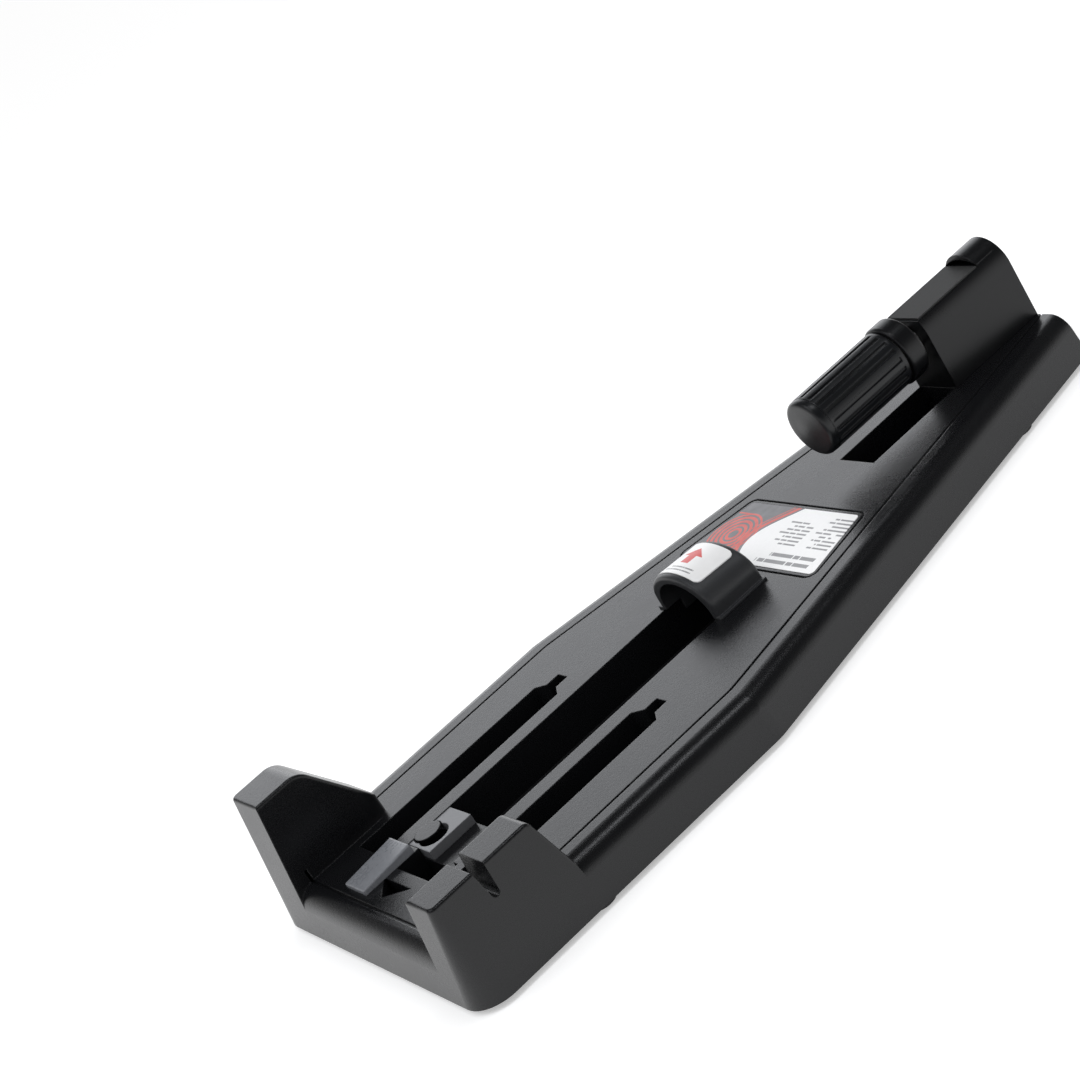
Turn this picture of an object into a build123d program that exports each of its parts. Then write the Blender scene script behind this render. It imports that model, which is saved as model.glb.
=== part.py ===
from build123d import *
from math import atan, degrees, radians, sin, cos, tan, hypot
import os

# Bench-top line winder: a long moulded base that tapers to the rear, two cheeks
# at the front for the spool rod, storage channels in the deck, and at the rear a
# seat that clamps the foot of a reel with a screw.
# Frame: X runs from the cheeks (front, -X) to the reel seat (rear, +X), Z is up,
# the origin is under the middle of the part on the surface it stands on.

# ---------------------------------------------------------------- driving sizes
base_length = 354.0
base_half_width = 77.0          # at the bottom edge of the skirt
kink_from_front = 139.0         # parallel front part, then the taper starts
taper_slope = 0.2245            # loss of half width per mm of length
skirt_height = 18.2             # bottom edge of the skirt to the deck
foot_height = 2.2               # rubber feet below the skirt
wall_draft = 9.3                # degrees, sides and front
wall = 2.8
front_corner_radius = 13.0      # front corners at the bottom edge
cheek_corner_radius = 2.4       # the same corners at the top of each cheek
kink_radius = 18.0
bullnose_radius = 8.0
edge_round = 0.8
cheek_edge_round = 1.2
cheek_corner_round = 2.5        # rear top corner of the near cheek, seen from the side

groove_half_width = 62.5        # decorative line round the deck
groove_from_front = 9.6
groove_width = 1.2
groove_depth = 0.8
groove_corner = 2.0

# cheeks
near_cheek_inner = 53.75        # from the centre plane, near (-Y) side
near_cheek_height = 20.5        # above the deck
near_cheek_rear = 50.0          # top rear edge, from the front
near_cheek_rear_foot = 54.6     # the same edge where it meets the deck
far_cheek_inner = 46.25
far_cheek_height = 35.6
far_cheek_top_rear = 28.6
far_cheek_slope_rear = 48.6
far_cheek_slope_height = 7.0
far_cheek_corner = 6.0
far_cheek_top_round = 9.0       # rear top corner, seen from the side
notch_from_front = 27.4         # rod notch in the near cheek
notch_top_width = 5.4
notch_bottom_width = 3.4
notch_depth = 11.4
notch_solid = 5.0               # solid plastic each side of the notch's middle

# storage channels
side_slot_inner = 24.9
side_slot_outer = 41.4
side_slot_front = 30.0          # from the front
side_slot_to_tunnel = 50.4      # rear end of the side channels to the tunnel
slot_tail_inner = 30.0
slot_tail_outer = 36.6
slot_tail_length = 9.0
slot_shoulder = 3.0             # slanted step between channel and tail
centre_slot_half_width = 16.7
centre_slot_front = 58.4
centre_slot_under_tunnel = 17.5
channel_wall = 2.0

# front clip field between the cheeks
cross_hole_front = 27.7
cross_hole_rear = 38.0
cross_hole_inner = 20.0         # towards -Y
cross_hole_outer = 8.7          # towards +Y
vee_hole_front = 15.0
vee_hole_rear = 22.5
vee_hole_half_width = 10.0
rest_bar_front = 13.3           # raised bar that the stored rod lies against
rest_bar_rear = 36.2
rest_bar_inner = 8.5
rest_bar_outer = 23.0
rest_bar_height = 3.8           # at its rear end
rest_bar_front_height = 2.2
clip_plate_front = 38.4
clip_plate_inner = 1.4
clip_plate_drop = 0.3           # top of the spring plate below the deck
clip_plate_thickness = 3.9
clip_floor_thickness = 1.8
lug_radius = 5.2                # round lug that reaches over the plate
lug_from_front = 45.8
lug_overhang = 8.2
lug_rise = 0.3                  # top of the lug above the deck
plate_hole_radius = 6.0         # round hole in the plate, beside the lug
plate_hole_from_front = 45.6
plate_hole_inset = 7.6          # centre of the hole from the free edge of the plate
plate_lug_gap = 0.6

# tunnel over the rear end of the centre channel
tunnel_to_label = 3.1
tunnel_length = 23.7
tunnel_half_width = 18.8
tunnel_height = 17.2            # at its open front end
tunnel_rear_height = 15.5
tunnel_wall = 3.4
tunnel_spring_share = 0.28      # upright part of the arch, as a share of its height
tunnel_flange = 1.6
tunnel_flange_thickness = 0.9
tab_width = 9.0                 # two tabs hold the tunnel in the channel
tab_thickness = 1.2
tab_length = 5.0
tab_clearance = 0.05
tunnel_label_margin = 2.4
tunnel_label_half_width = 13.2
tunnel_label_corner = 2.2
tunnel_edge_round = 1.8

# label field
label_to_recess = 26.6
label_length = 37.6
label_half_width = 43.8         # at its front edge
label_groove = 1.0
label_margin = 2.4
label_thickness = 0.35
label_clearance = 0.1
label_corner = 4.2             # of the line round the label

# reel seat
recess_length = 46.6            # in front of the block
recess_half_width = 10.3
block_length = 47.4
block_half_width = 11.5
block_wall = 3.2
seat_height = 30.6              # top of the seat above the deck
hood_centre_height = 24.5       # centre of the round top of the fixed hood
hood_depth = 12.4
hood_wall = 2.8
hood_pocket_height = 3.2        # room for the end of the reel foot
collar_pocket_height = 3.2
pocket_side_height = 0.8
hood_pocket_wall = 2.4
pad_thickness = 0.8
pad_margin = 1.0
pad_clearance = 0.3
screw_axis_height = 22.75       # clamp screw axis above the deck

stem_diameter = 10.0
stem_pitch = 2.0
stem_thread_depth = 0.9
stem_run_out = 0.5              # plain end of the thread at the block
stem_free_length = 44.6         # from the front of the block
stem_anchor_length = 18.0
stem_flat = 8.4                 # across the two flats
running_clearance = 0.08        # radial, in the bores that turn or slide
collar_gap = 4.3                # collar to block, reel foot clamped
collar_length = 8.3
collar_radius = 12.9
collar_round = 1.2
collar_pocket_depth = 5.0
collar_pocket_half_width = 8.6
washer_thickness = 0.9
washer_radius = 10.6
washer_clearance = 0.4
knob_length = 44.0
knob_radius = 12.1
knob_bore_radius = 5.6
flute_count = 18
flute_depth = 0.75
flute_width = 1.9
knob_collar_band = 1.6          # plain ring at the collar end
insert_length = 22.0
insert_radius = 7.4
insert_recess = 0.2
end_cap_thickness = 3.2
end_cap_round = 2.4
end_cap_plug = 4.5

# fasteners and feet
cover_thickness = 2.0
cover_clearance = 0.3
boss_radius = 4.0
block_boss_radius = 3.6
screw_hole_radius = 1.5
screw_shank_radius = 1.2
screw_clearance = 0.2
screw_head_radius = 2.9
screw_head_height = 1.6
screw_socket_radius = 1.0
screw_socket_depth = 0.8
cover_screw_length = 10.0
block_screw_length = 12.0
block_screws_from_block = (16.0, 36.0)
front_cover_screw = (14.0, 40.0)        # from the front, and in from the skirt
side_cover_screw_front = 75.0
side_cover_screw_rear = 64.0            # from the rear
side_cover_screw_count = 4
side_cover_screw_inset = 9.0
foot_radius = 6.0
foot_inset = 8.0
foot_round = 0.6
front_foot_from_front = 56.5
rear_foot_from_rear = 46.0
plug_radius = 2.4
plug_length = 4.0

tiny = 0.01                     # tolerance when an edge is picked by its place
spare = 5.0                     # blanks and cutters run past the part by this

# ------------------------------------------------------------- worked-out places
x_front = -base_length / 2
x_rear = base_length / 2
x_kink = x_front + kink_from_front
z_skirt = foot_height
z_deck = foot_height + skirt_height
draft = tan(radians(wall_draft))
x_block = x_rear - block_length
x_recess = x_block - recess_length
x_label_rear = x_recess - label_to_recess
x_label_front = x_label_rear - label_length
x_tunnel_rear = x_label_front - tunnel_to_label
x_tunnel = x_tunnel_rear - tunnel_length
x_side_slot_rear = x_tunnel - side_slot_to_tunnel
x_centre_slot_rear = x_tunnel + centre_slot_under_tunnel
z_axis = z_deck + screw_axis_height
z_seat = z_deck + seat_height


def along(distance_from_front):
    """X of a place given by its distance from the front edge."""
    return x_front + distance_from_front


def box(x0, x1, y0, y1, z0, z1):
    """Solid box between two corners."""
    size = (abs(x1 - x0), abs(y1 - y0), abs(z1 - z0))
    return Pos((x0 + x1) / 2, (y0 + y1) / 2, (z0 + z1) / 2) * Box(*size)


def rod_x(x0, x1, radius, y=0.0, z=0.0):
    """Round bar along X."""
    return Pos((x0 + x1) / 2, y, z) * Rot(0, 90, 0) * Cylinder(radius, abs(x1 - x0))


def rod_z(x, y, z0, z1, radius):
    """Round bar along Z."""
    return Pos(x, y, (z0 + z1) / 2) * Cylinder(radius, abs(z1 - z0))


def side_profile(points, y0, y1, corner=None, corner_radius=0.0):
    """Outline in the XZ plane, made solid between two Y planes; one corner may be round."""
    outline = Polyline([(x, 0, z) for x, z in points], close=True)
    face = make_face(outline)
    if corner is not None:
        at = (points[corner][0], 0, points[corner][1])
        face = fillet(face.vertices().sort_by_distance(at)[0], corner_radius)
    return extrude(Pos(0, y0, 0) * face, amount=y1 - y0, dir=(0, 1, 0))


def plan_outline(half_width, front, rear, corner=0.0, kink=0.0):
    """Plan of the base at one level: parallel in front, tapered behind the kink."""
    rear_half = half_width - taper_slope * (rear - x_kink)
    points = [(front, -half_width), (x_kink, -half_width), (rear, -rear_half),
              (rear, rear_half), (x_kink, half_width), (front, half_width)]
    face = make_face(Polyline(points, close=True))
    if corner > 0:
        corners = face.vertices().filter_by(lambda v: abs(v.X - front) < tiny)
        face = fillet(corners, corner)
    if kink > 0:
        bends = face.vertices().filter_by(lambda v: abs(v.X - x_kink) < tiny)
        face = fillet(bends, kink)
    return face


def drafted_block(inset, z0, z1, rear):
    """The drafted outer form of the base, drawn in by inset, from z0 to z1."""
    step = inset + draft * (z0 - z_skirt)
    corner = max(front_corner_radius - step, 1.0)
    face = plan_outline(base_half_width - step, x_front + step, rear, corner, kink_radius)
    return extrude(Pos(0, 0, z0) * face, amount=z1 - z0, taper=wall_draft)


def cheek_block(top):
    """The drafted outer form up to the top of a cheek, with front corners that sharpen upwards."""
    outlines = []
    for z, corner in ((z_skirt, front_corner_radius), (top, cheek_corner_radius)):
        step = draft * (z - z_skirt)
        outlines.append(Pos(0, 0, z) * plan_outline(base_half_width - step, x_front + step, x_rear,
                                                    corner, kink_radius))
    return loft(outlines, ruled=True)


def half_width_at(x, at_front=base_half_width):
    """Half width of the base at one place along it."""
    return at_front - taper_slope * max(0.0, x - x_kink)


# ------------------------------------------------------------------------- base
def wall_prism(x, y, turn):
    """Everything inside one wall: drafted outside, round top edge, flat deck."""
    reach = 2 * base_length
    points = [(0, 0, z_skirt), (0, -draft * skirt_height, z_deck), (0, -reach, z_deck),
              (0, -reach, z_skirt)]
    face = make_face(Polyline(points, close=True))
    corner = face.vertices().sort_by_distance((0, -draft * skirt_height, z_deck))[0]
    face = fillet(corner, bullnose_radius)
    prism = extrude(Pos(-reach, 0, 0) * face, amount=2 * reach, dir=(1, 0, 0))
    return Pos(x, y, 0) * Rot(0, 0, turn) * prism


def skirt_form():
    """Low form of the base: front, parallel sides and tapered sides meet in mitres."""
    lean = degrees(atan(taper_slope))
    form = drafted_block(0, z_skirt, z_deck, x_rear + spare)
    form &= wall_prism(x_front, 0, 90)
    form &= wall_prism(x_kink, base_half_width, 0)
    form &= wall_prism(x_kink, -base_half_width, 180)
    form &= wall_prism(x_kink, base_half_width, -lean)
    form &= wall_prism(x_kink, -base_half_width, 180 + lean)
    return form


def round_top(cheek, top):
    """Cheek with the edges of its top face rounded; the rounding runs on down its slope."""
    rim = cheek.edges().filter_by(lambda e: abs(e.center().Z - top) < tiny)
    rear = max(e.center().X for e in rim)
    rim = rim.filter_by(lambda e: e.center().X < rear - tiny)
    return fillet(rim, cheek_edge_round)


def base_form():
    """Outer form: skirt with a round top edge, and the two cheeks standing on it."""
    near_top = z_deck + near_cheek_height
    far_top = z_deck + far_cheek_height
    near = side_profile([
        (x_front - spare, z_skirt), (along(near_cheek_rear_foot), z_skirt),
        (along(near_cheek_rear_foot), z_deck),
        (along(near_cheek_rear), near_top), (x_front - spare, near_top)],
        -near_cheek_inner, -base_half_width - spare, 3, cheek_corner_round)
    near = round_top(cheek_block(near_top) & near, near_top)
    far = side_profile([
        (x_front - spare, z_skirt), (along(far_cheek_slope_rear), z_skirt),
        (along(far_cheek_slope_rear), z_deck + far_cheek_slope_height),
        (along(far_cheek_top_rear), far_top), (x_front - spare, far_top)],
        far_cheek_inner, base_half_width + spare, 3, far_cheek_top_round)
    far = cheek_block(far_top) & far
    inner_end = far.edges().filter_by(Axis.Z)
    inner_end = inner_end.filter_by(lambda e: e.center().X > along(far_cheek_slope_rear) - tiny)
    far = fillet(inner_end.sort_by(Axis.Y)[0], far_cheek_corner)
    far = round_top(far, far_top)
    behind = box(x_rear, x_rear + base_length, -base_half_width, base_half_width, 0, z_deck + spare)
    return skirt_form() + near + far - behind


def deck_groove():
    """Thin line that follows the edge of the deck."""
    front = along(groove_from_front)
    end = x_rear + spare
    outer = plan_outline(groove_half_width, front, end, groove_corner, kink_radius)
    inner = plan_outline(groove_half_width - groove_width, front + groove_width, end,
                         groove_corner - groove_width, kink_radius)
    return extrude(Pos(0, 0, z_deck - groove_depth) * (outer - inner), amount=groove_depth + spare)


def notch():
    """Tapered slot with a round end across the near cheek."""
    x = along(notch_from_front)
    top = z_deck + near_cheek_height
    half_top = notch_top_width / 2
    half_low = notch_bottom_width / 2
    low = top - notch_depth + half_low
    body = side_profile([(x - half_low, low), (x + half_low, low), (x + half_top, top),
                         (x + half_top, top + spare), (x - half_top, top + spare),
                         (x - half_top, top)], -near_cheek_inner + spare, -base_half_width)
    middle = (spare - near_cheek_inner - base_half_width) / 2
    length = base_half_width - near_cheek_inner + spare
    return body + Pos(x, middle, low) * Rot(90, 0, 0) * Cylinder(half_low, length)


def side_channel(side, grow, z0, z1):
    """One side channel: wide, with slanted shoulders and a narrow tail at the rear."""
    front = along(side_slot_front) - grow
    rear = x_side_slot_rear + grow
    end = x_side_slot_rear + slot_tail_length + grow
    inner = side_slot_inner - grow
    outer = side_slot_outer + grow
    tail_inner = slot_tail_inner - grow
    tail_outer = slot_tail_outer + grow
    points = [(front, inner), (rear, inner), (rear + slot_shoulder, tail_inner), (end, tail_inner),
              (end, tail_outer), (rear + slot_shoulder, tail_outer), (rear, outer),
              (front, outer)]
    face = make_face(Polyline([(x, side * y) for x, y in points], close=True))
    return extrude(Pos(0, 0, z0) * face, amount=z1 - z0, dir=(0, 0, 1))


def channel_boxes(grow, z0, z1):
    """The side channels, the centre channel, the seat recess and the front windows."""
    parts = [side_channel(side, grow, z0, z1) for side in (-1, 1)]
    half = centre_slot_half_width + grow
    parts.append(box(along(centre_slot_front) - grow, x_centre_slot_rear + grow,
                     -half, half, z0, z1))
    half = recess_half_width + grow
    parts.append(box(x_recess - grow, x_block + grow, -half, half, z0, z1))
    parts.append(box(along(cross_hole_front) - grow, along(cross_hole_rear) + grow,
                     -cross_hole_inner - grow, cross_hole_outer + grow, z0, z1))
    parts.append(vee_hole(grow, z0, z1))
    return parts


def vee_hole(grow, z0, z1):
    """Three-cornered window behind the front edge."""
    half = vee_hole_half_width + grow
    points = [(along(vee_hole_front) - grow, 0), (along(vee_hole_rear) + grow, -half),
              (along(vee_hole_rear) + grow, half)]
    face = make_face(Polyline(points, close=True))
    return extrude(Pos(0, 0, z0) * face, amount=z1 - z0)


def cover_screw_places():
    """Where the bottom cover is screwed up into the shell, in pairs along its edge."""
    rows = [(along(front_cover_screw[0]), front_cover_screw[1])]
    first = along(side_cover_screw_front)
    step = (x_rear - side_cover_screw_rear - first) / (side_cover_screw_count - 1)
    rows += [(first + index * step, side_cover_screw_inset) for index in range(side_cover_screw_count)]
    places = []
    for x, inset in rows:
        y = half_width_at(x) - wall - inset
        places += [(x, -y), (x, y)]
    return places


def block_screw_places():
    """Two screws up through the deck into the reel seat block."""
    return [(x_block + distance, 0.0) for distance in block_screws_from_block]


def shell_core():
    """The hollow inside the shell, open below; it reaches up into both cheeks."""
    inside = x_rear - wall
    core = drafted_block(wall, z_skirt, z_deck - wall, inside)
    near_top = z_deck + near_cheek_height - wall
    near = drafted_block(wall, z_skirt, near_top, inside)
    near &= box(x_front, along(near_cheek_rear) - wall, -base_half_width,
                -near_cheek_inner - wall, z_skirt, near_top)
    x = along(notch_from_front)
    near -= box(x - notch_solid, x + notch_solid, -base_half_width, 0, z_deck, near_top)
    far_top = z_deck + far_cheek_height - wall
    far = drafted_block(wall, z_skirt, far_top, inside)
    far &= side_profile([
        (x_front, z_skirt), (along(far_cheek_slope_rear) - wall, z_skirt),
        (along(far_cheek_slope_rear) - wall, z_deck + far_cheek_slope_height - wall),
        (along(far_cheek_top_rear) - wall, far_top), (x_front, far_top)],
        far_cheek_inner + wall, base_half_width)
    return core + near + far


def base_shell():
    """One moulding: deck, skirt, hollow cheeks, channel walls and screw bosses."""
    shell = base_form() - shell_core()
    z_floor = z_skirt + cover_thickness
    z_under_deck = z_deck - wall / 2
    for part in channel_boxes(channel_wall, z_floor, z_under_deck):
        shell += part
    shell += clip_pocket(clip_floor_thickness, z_under_deck)
    for x, y in cover_screw_places():
        shell += rod_z(x, y, z_floor, z_under_deck, boss_radius)
    for part in channel_boxes(0.0, 0.0, z_deck + spare):
        shell -= part
    for x, y in cover_screw_places():
        shell -= rod_z(x, y, 0, z_skirt + cover_screw_length + screw_clearance, screw_shank_radius)
    for x, y in block_screw_places():
        shell -= rod_z(x, y, 0, z_deck + spare, screw_hole_radius + screw_clearance)
    shell -= clip_pocket(0.0, z_deck + spare)
    shell += clip_lug()
    return shell - deck_groove() - label_recess() - notch()


# ------------------------------------------------------------- label and tunnel
def label_face(inset):
    """Plan of the label: tapered like the deck, with round corners."""
    x0 = x_label_front + inset
    x1 = x_label_rear - inset
    half0 = label_half_width - inset
    half1 = label_half_width - taper_slope * label_length - inset
    face = make_face(Polyline([(x0, -half0), (x1, -half1), (x1, half1), (x0, half0)], close=True))
    return fillet(face.vertices(), label_corner - inset)


def label_recess():
    """Line round the label field, and the shallow seat of the label."""
    ring = label_face(0) - label_face(label_groove)
    cut = extrude(Pos(0, 0, z_deck - groove_depth) * ring, amount=groove_depth + spare)
    field = label_face(label_margin - label_clearance)
    return cut + extrude(Pos(0, 0, z_deck - label_thickness / 2) * field, amount=spare)


def info_label():
    """Printed label, half sunk in its seat."""
    face = label_face(label_margin)
    return extrude(Pos(0, 0, z_deck - label_thickness / 2) * face, amount=label_thickness)


def arch_face(half_width, height, low):
    """Arch in the YZ plane: upright feet and a round top."""
    spring = low + tunnel_spring_share * (height - low)
    outline = Polyline([(0, half_width, spring), (0, half_width, low), (0, -half_width, low),
                        (0, -half_width, spring)])
    crown = EllipticalCenterArc((0, 0), half_width, height - spring, 0, arc_size=180)
    crown = Plane((0, 0, spring), x_dir=(0, 1, 0), z_dir=(1, 0, 0)) * crown
    return make_face(outline + crown)


def tunnel_form(x0, x1, grow, low):
    """Solid arch that gets lower towards the rear."""
    fall = (tunnel_height - tunnel_rear_height) / tunnel_length
    faces = []
    for x in (x0, x1):
        height = tunnel_height - fall * (x - x_tunnel)
        faces.append(Pos(x, 0, 0) * arch_face(tunnel_half_width + grow, z_deck + height + grow, low))
    return loft(faces, ruled=True)


def tunnel_hood():
    """Round hood over the channel, closed at the rear, on a thin flange."""
    x0 = x_tunnel
    x1 = x0 + tunnel_length
    outer = tunnel_form(x0, x1, 0, z_deck)
    rims = outer.edges().filter_by(lambda e: e.center().Z > z_deck + tiny)
    rims = rims.filter_by(lambda e: min(abs(e.center().X - x0), abs(e.center().X - x1)) < tiny)
    outer = fillet(rims, tunnel_edge_round)
    hood = outer + box(x0, x1, -tunnel_half_width - tunnel_flange,
                       tunnel_half_width + tunnel_flange, z_deck, z_deck + tunnel_flange_thickness)
    hood -= tunnel_form(x0 - spare, x1 - tunnel_wall, -tunnel_wall, z_deck - tunnel_wall)
    middle = x0 + tunnel_length / 2
    for side in (-1, 1):
        face = centre_slot_half_width - tab_clearance
        hood += box(middle - tab_width / 2, middle + tab_width / 2, side * face,
                    side * (face - tab_thickness), z_deck - tab_length, z_deck + tunnel_wall)
    return hood


def tunnel_label():
    """Small label wrapped over the crown of the tunnel."""
    x0 = x_tunnel + tunnel_label_margin
    x1 = x_tunnel_rear - tunnel_label_margin
    band = tunnel_form(x0, x1, label_thickness, z_deck) - tunnel_form(x0, x1, 0, z_deck)
    plan = RectangleRounded(x1 - x0, 2 * tunnel_label_half_width, tunnel_label_corner)
    plan = Pos((x0 + x1) / 2, 0, z_deck + tunnel_height / 2) * plan
    return band & extrude(plan, amount=tunnel_height)


# ------------------------------------------------------------------- front clip
def storage_clip():
    """Rest bar for the stored rod, a separate pale moulding on the deck."""
    front, rear = along(rest_bar_front), along(rest_bar_rear)
    bar = side_profile([(front, z_deck), (rear, z_deck), (rear, z_deck + rest_bar_height),
                        (front, z_deck + rest_bar_front_height)], rest_bar_inner, rest_bar_outer)
    low = z_deck + rest_bar_front_height - tiny
    tops = bar.edges().filter_by(lambda e: e.center().Z > low)
    return fillet(tops, edge_round)


def clip_plate_levels():
    """Bottom and top of the spring plate."""
    top = z_deck - clip_plate_drop
    return top - clip_plate_thickness, top


def lug_axis(bottom, top, radius):
    """Round bar on the axis of the lug."""
    y = centre_slot_half_width - lug_overhang + lug_radius
    return rod_z(along(lug_from_front), y, bottom, top, radius)


def rod_clip_plate():
    """Spring plate at the front end of the centre channel, with a round hole by the lug."""
    bottom, top = clip_plate_levels()
    plate = box(along(clip_plate_front), along(centre_slot_front), clip_plate_inner,
                centre_slot_half_width, bottom, top)
    hole = rod_z(along(plate_hole_from_front), clip_plate_inner + plate_hole_inset, bottom - spare,
                 top + spare, plate_hole_radius)
    return plate - hole - lug_axis(bottom - spare, top + spare, lug_radius + plate_lug_gap)


def clip_pocket(grow, top):
    """Seat of the spring plate, with a low field beside it."""
    bottom = clip_plate_levels()[0]
    return box(along(cross_hole_rear) - grow, along(centre_slot_front) + tiny,
               -centre_slot_half_width - grow, centre_slot_half_width + grow, bottom - grow, top)


def clip_lug():
    """Round lug on the land between the channels; it hooks over the stored rod."""
    bottom = z_deck - lug_rise
    return lug_axis(bottom, z_deck + lug_rise, lug_radius)


# -------------------------------------------------------------------- reel seat
def hood_outline(half_width, centre, low):
    """Upright sides with a half round top, in the YZ plane."""
    sides = Polyline([(0, half_width, centre), (0, half_width, low), (0, -half_width, low),
                      (0, -half_width, centre)])
    top = CenterArc((0, 0), half_width, 0, 180)
    top = Plane((0, 0, centre), x_dir=(0, 1, 0), z_dir=(1, 0, 0)) * top
    return make_face(sides + top)


def foot_pocket(half_width, low, height):
    """Lens shaped section of a reel foot: flat below, arched above."""
    side = low + pocket_side_height
    arc = ThreePointArc((0, half_width, side), (0, 0, low + height), (0, -half_width, side))
    sides = Polyline([(0, -half_width, side), (0, -half_width, low), (0, half_width, low),
                      (0, half_width, side)])
    return make_face(arc + sides)


def reel_seat_block():
    """Fixed part of the seat: block with a flat seat and a hood over its rear end."""
    x_hood = x_rear - hood_depth
    body = extrude(Pos(x_block, 0, 0) * hood_outline(block_half_width, z_deck + hood_centre_height,
                                                     z_deck), amount=x_rear - x_block, dir=(1, 0, 0))
    body -= box(x_block, x_hood, -block_half_width, block_half_width, z_seat, z_seat + stem_diameter)
    pocket = foot_pocket(block_half_width - hood_pocket_wall, z_seat, hood_pocket_height)
    pocket = extrude(Pos(x_hood, 0, 0) * pocket, amount=hood_depth - hood_wall, dir=(1, 0, 0))
    body -= pocket
    core_top = z_axis - stem_diameter / 2 - block_wall
    body -= box(x_block + block_wall, x_rear - block_wall, -block_half_width + block_wall,
                block_half_width - block_wall, z_deck, core_top)
    for x, y in block_screw_places():
        body += rod_z(x, y, z_deck, core_top, block_boss_radius)
        body -= rod_z(x, y, 0, core_top, screw_shank_radius)
    body -= rod_x(x_block, x_block + stem_anchor_length, stem_diameter / 2, 0, z_axis)
    return body


def saddle_pad():
    """Thin rubber pad on the seat, in front of the fixed hood."""
    x1 = x_rear - hood_depth - pad_clearance
    half = block_half_width - hood_pocket_wall
    return box(x_block + pad_margin, x1, -half, half, z_seat, z_seat + pad_thickness)


def threaded_stem():
    """Stud with a rolled thread and two flats, moulded into the block."""
    x0 = x_block - stem_free_length
    radius = stem_diameter / 2
    points = [(x0, 0), (x0, radius - stem_thread_depth)]
    x = x0 + stem_pitch / 2
    while x + stem_pitch <= x_block - stem_run_out:
        points.append((x, radius))
        points.append((x + stem_pitch / 2, radius - stem_thread_depth))
        x += stem_pitch
    x_end = x_block + stem_anchor_length
    points += [(x, radius), (x_end, radius), (x_end, 0)]
    section = make_face(Polyline([(px, 0, pz) for px, pz in points], close=True))
    stem = Pos(0, 0, z_axis) * revolve(section, Axis.X, 360)
    for side in (-1, 1):
        stem -= box(x0, x_block, side * stem_flat / 2, side * radius, z_axis - radius, z_axis + radius)
    return stem


def sliding_hood():
    """Collar that slides on the stem; its rear face has the pocket for the reel foot."""
    x1 = x_block - collar_gap
    x0 = x1 - collar_length
    collar = rod_x(x0, x1, collar_radius, 0, z_axis)
    rims = collar.edges().filter_by(GeomType.CIRCLE)
    collar = fillet(rims, collar_round)
    hole = rod_x(x0, x1, stem_diameter / 2 + running_clearance, 0, z_axis)
    half = stem_flat / 2 + running_clearance
    hole &= box(x0, x1, -half, half, z_axis - stem_diameter, z_axis + stem_diameter)
    pocket = foot_pocket(collar_pocket_half_width, z_seat, collar_pocket_height)
    pocket = extrude(Pos(x1 - collar_pocket_depth, 0, 0) * pocket, amount=collar_pocket_depth,
                     dir=(1, 0, 0))
    return collar - hole - pocket


def thrust_washer():
    """Plain washer between the knob and the collar."""
    x1 = x_block - collar_gap - collar_length
    ring = rod_x(x1 - washer_thickness, x1, washer_radius, 0, z_axis)
    return ring - rod_x(x1 - washer_thickness, x1, stem_diameter / 2 + washer_clearance, 0, z_axis)


def knob_places():
    """Front and rear X of the knob."""
    rear = x_block - collar_gap - collar_length - washer_thickness
    return rear - knob_length, rear


def clamp_knob():
    """Fluted knob, hollow, with a plain band at the collar end."""
    front, rear = knob_places()
    front += end_cap_thickness
    body = rod_x(front, rear, knob_radius, 0, z_axis)
    for index in range(flute_count):
        angle = 360 / flute_count * index
        cutter = box(front, rear - knob_collar_band, -flute_width / 2, flute_width / 2,
                     knob_radius - flute_depth, knob_radius + flute_depth)
        body -= Pos(0, 0, z_axis) * Rot(angle, 0, 0) * cutter
    body -= rod_x(rear - insert_length, rear, insert_radius, 0, z_axis)
    body -= rod_x(front, rear, knob_bore_radius, 0, z_axis)
    return body


def knob_end_cap():
    """Domed cap that plugs the front of the knob."""
    front, rear = knob_places()
    cap = rod_x(front, front + end_cap_thickness, knob_radius - flute_depth / 2, 0, z_axis)
    cap = fillet(cap.edges().filter_by(GeomType.CIRCLE).sort_by(Axis.X)[0], end_cap_round)
    plug_end = front + end_cap_thickness + end_cap_plug
    return cap + rod_x(front + end_cap_round, plug_end, knob_bore_radius, 0, z_axis)


def knob_insert():
    """Brass nut pressed into the knob."""
    rear = knob_places()[1]
    nut = rod_x(rear - insert_length, rear - insert_recess, insert_radius, 0, z_axis)
    return nut - rod_x(rear - insert_length, rear, stem_diameter / 2 + running_clearance, 0, z_axis)


# ----------------------------------------------------------- cover, screws, feet
def foot_places():
    """Two feet in front and two behind, near the skirt."""
    places = {}
    for name, x in (("front", along(front_foot_from_front)), ("rear", x_rear - rear_foot_from_rear)):
        y = half_width_at(x) - foot_inset
        places[name + "_near"] = (x, -y)
        places[name + "_far"] = (x, y)
    return places


def bottom_cover():
    """Flat plate that closes the shell from below."""
    inset = wall + cover_clearance + draft * cover_thickness
    face = plan_outline(base_half_width - inset, x_front + inset, x_rear - inset,
                        front_corner_radius - inset, kink_radius)
    cover = extrude(Pos(0, 0, z_skirt) * face, amount=cover_thickness)
    for x, y in cover_screw_places():
        cover -= rod_z(x, y, 0, z_deck, screw_hole_radius + screw_clearance)
        cover -= rod_z(x, y, 0, z_skirt + screw_head_height, screw_head_radius + screw_clearance)
    for x, y in foot_places().values():
        cover -= rod_z(x, y, 0, z_deck, plug_radius)
    return cover


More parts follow.
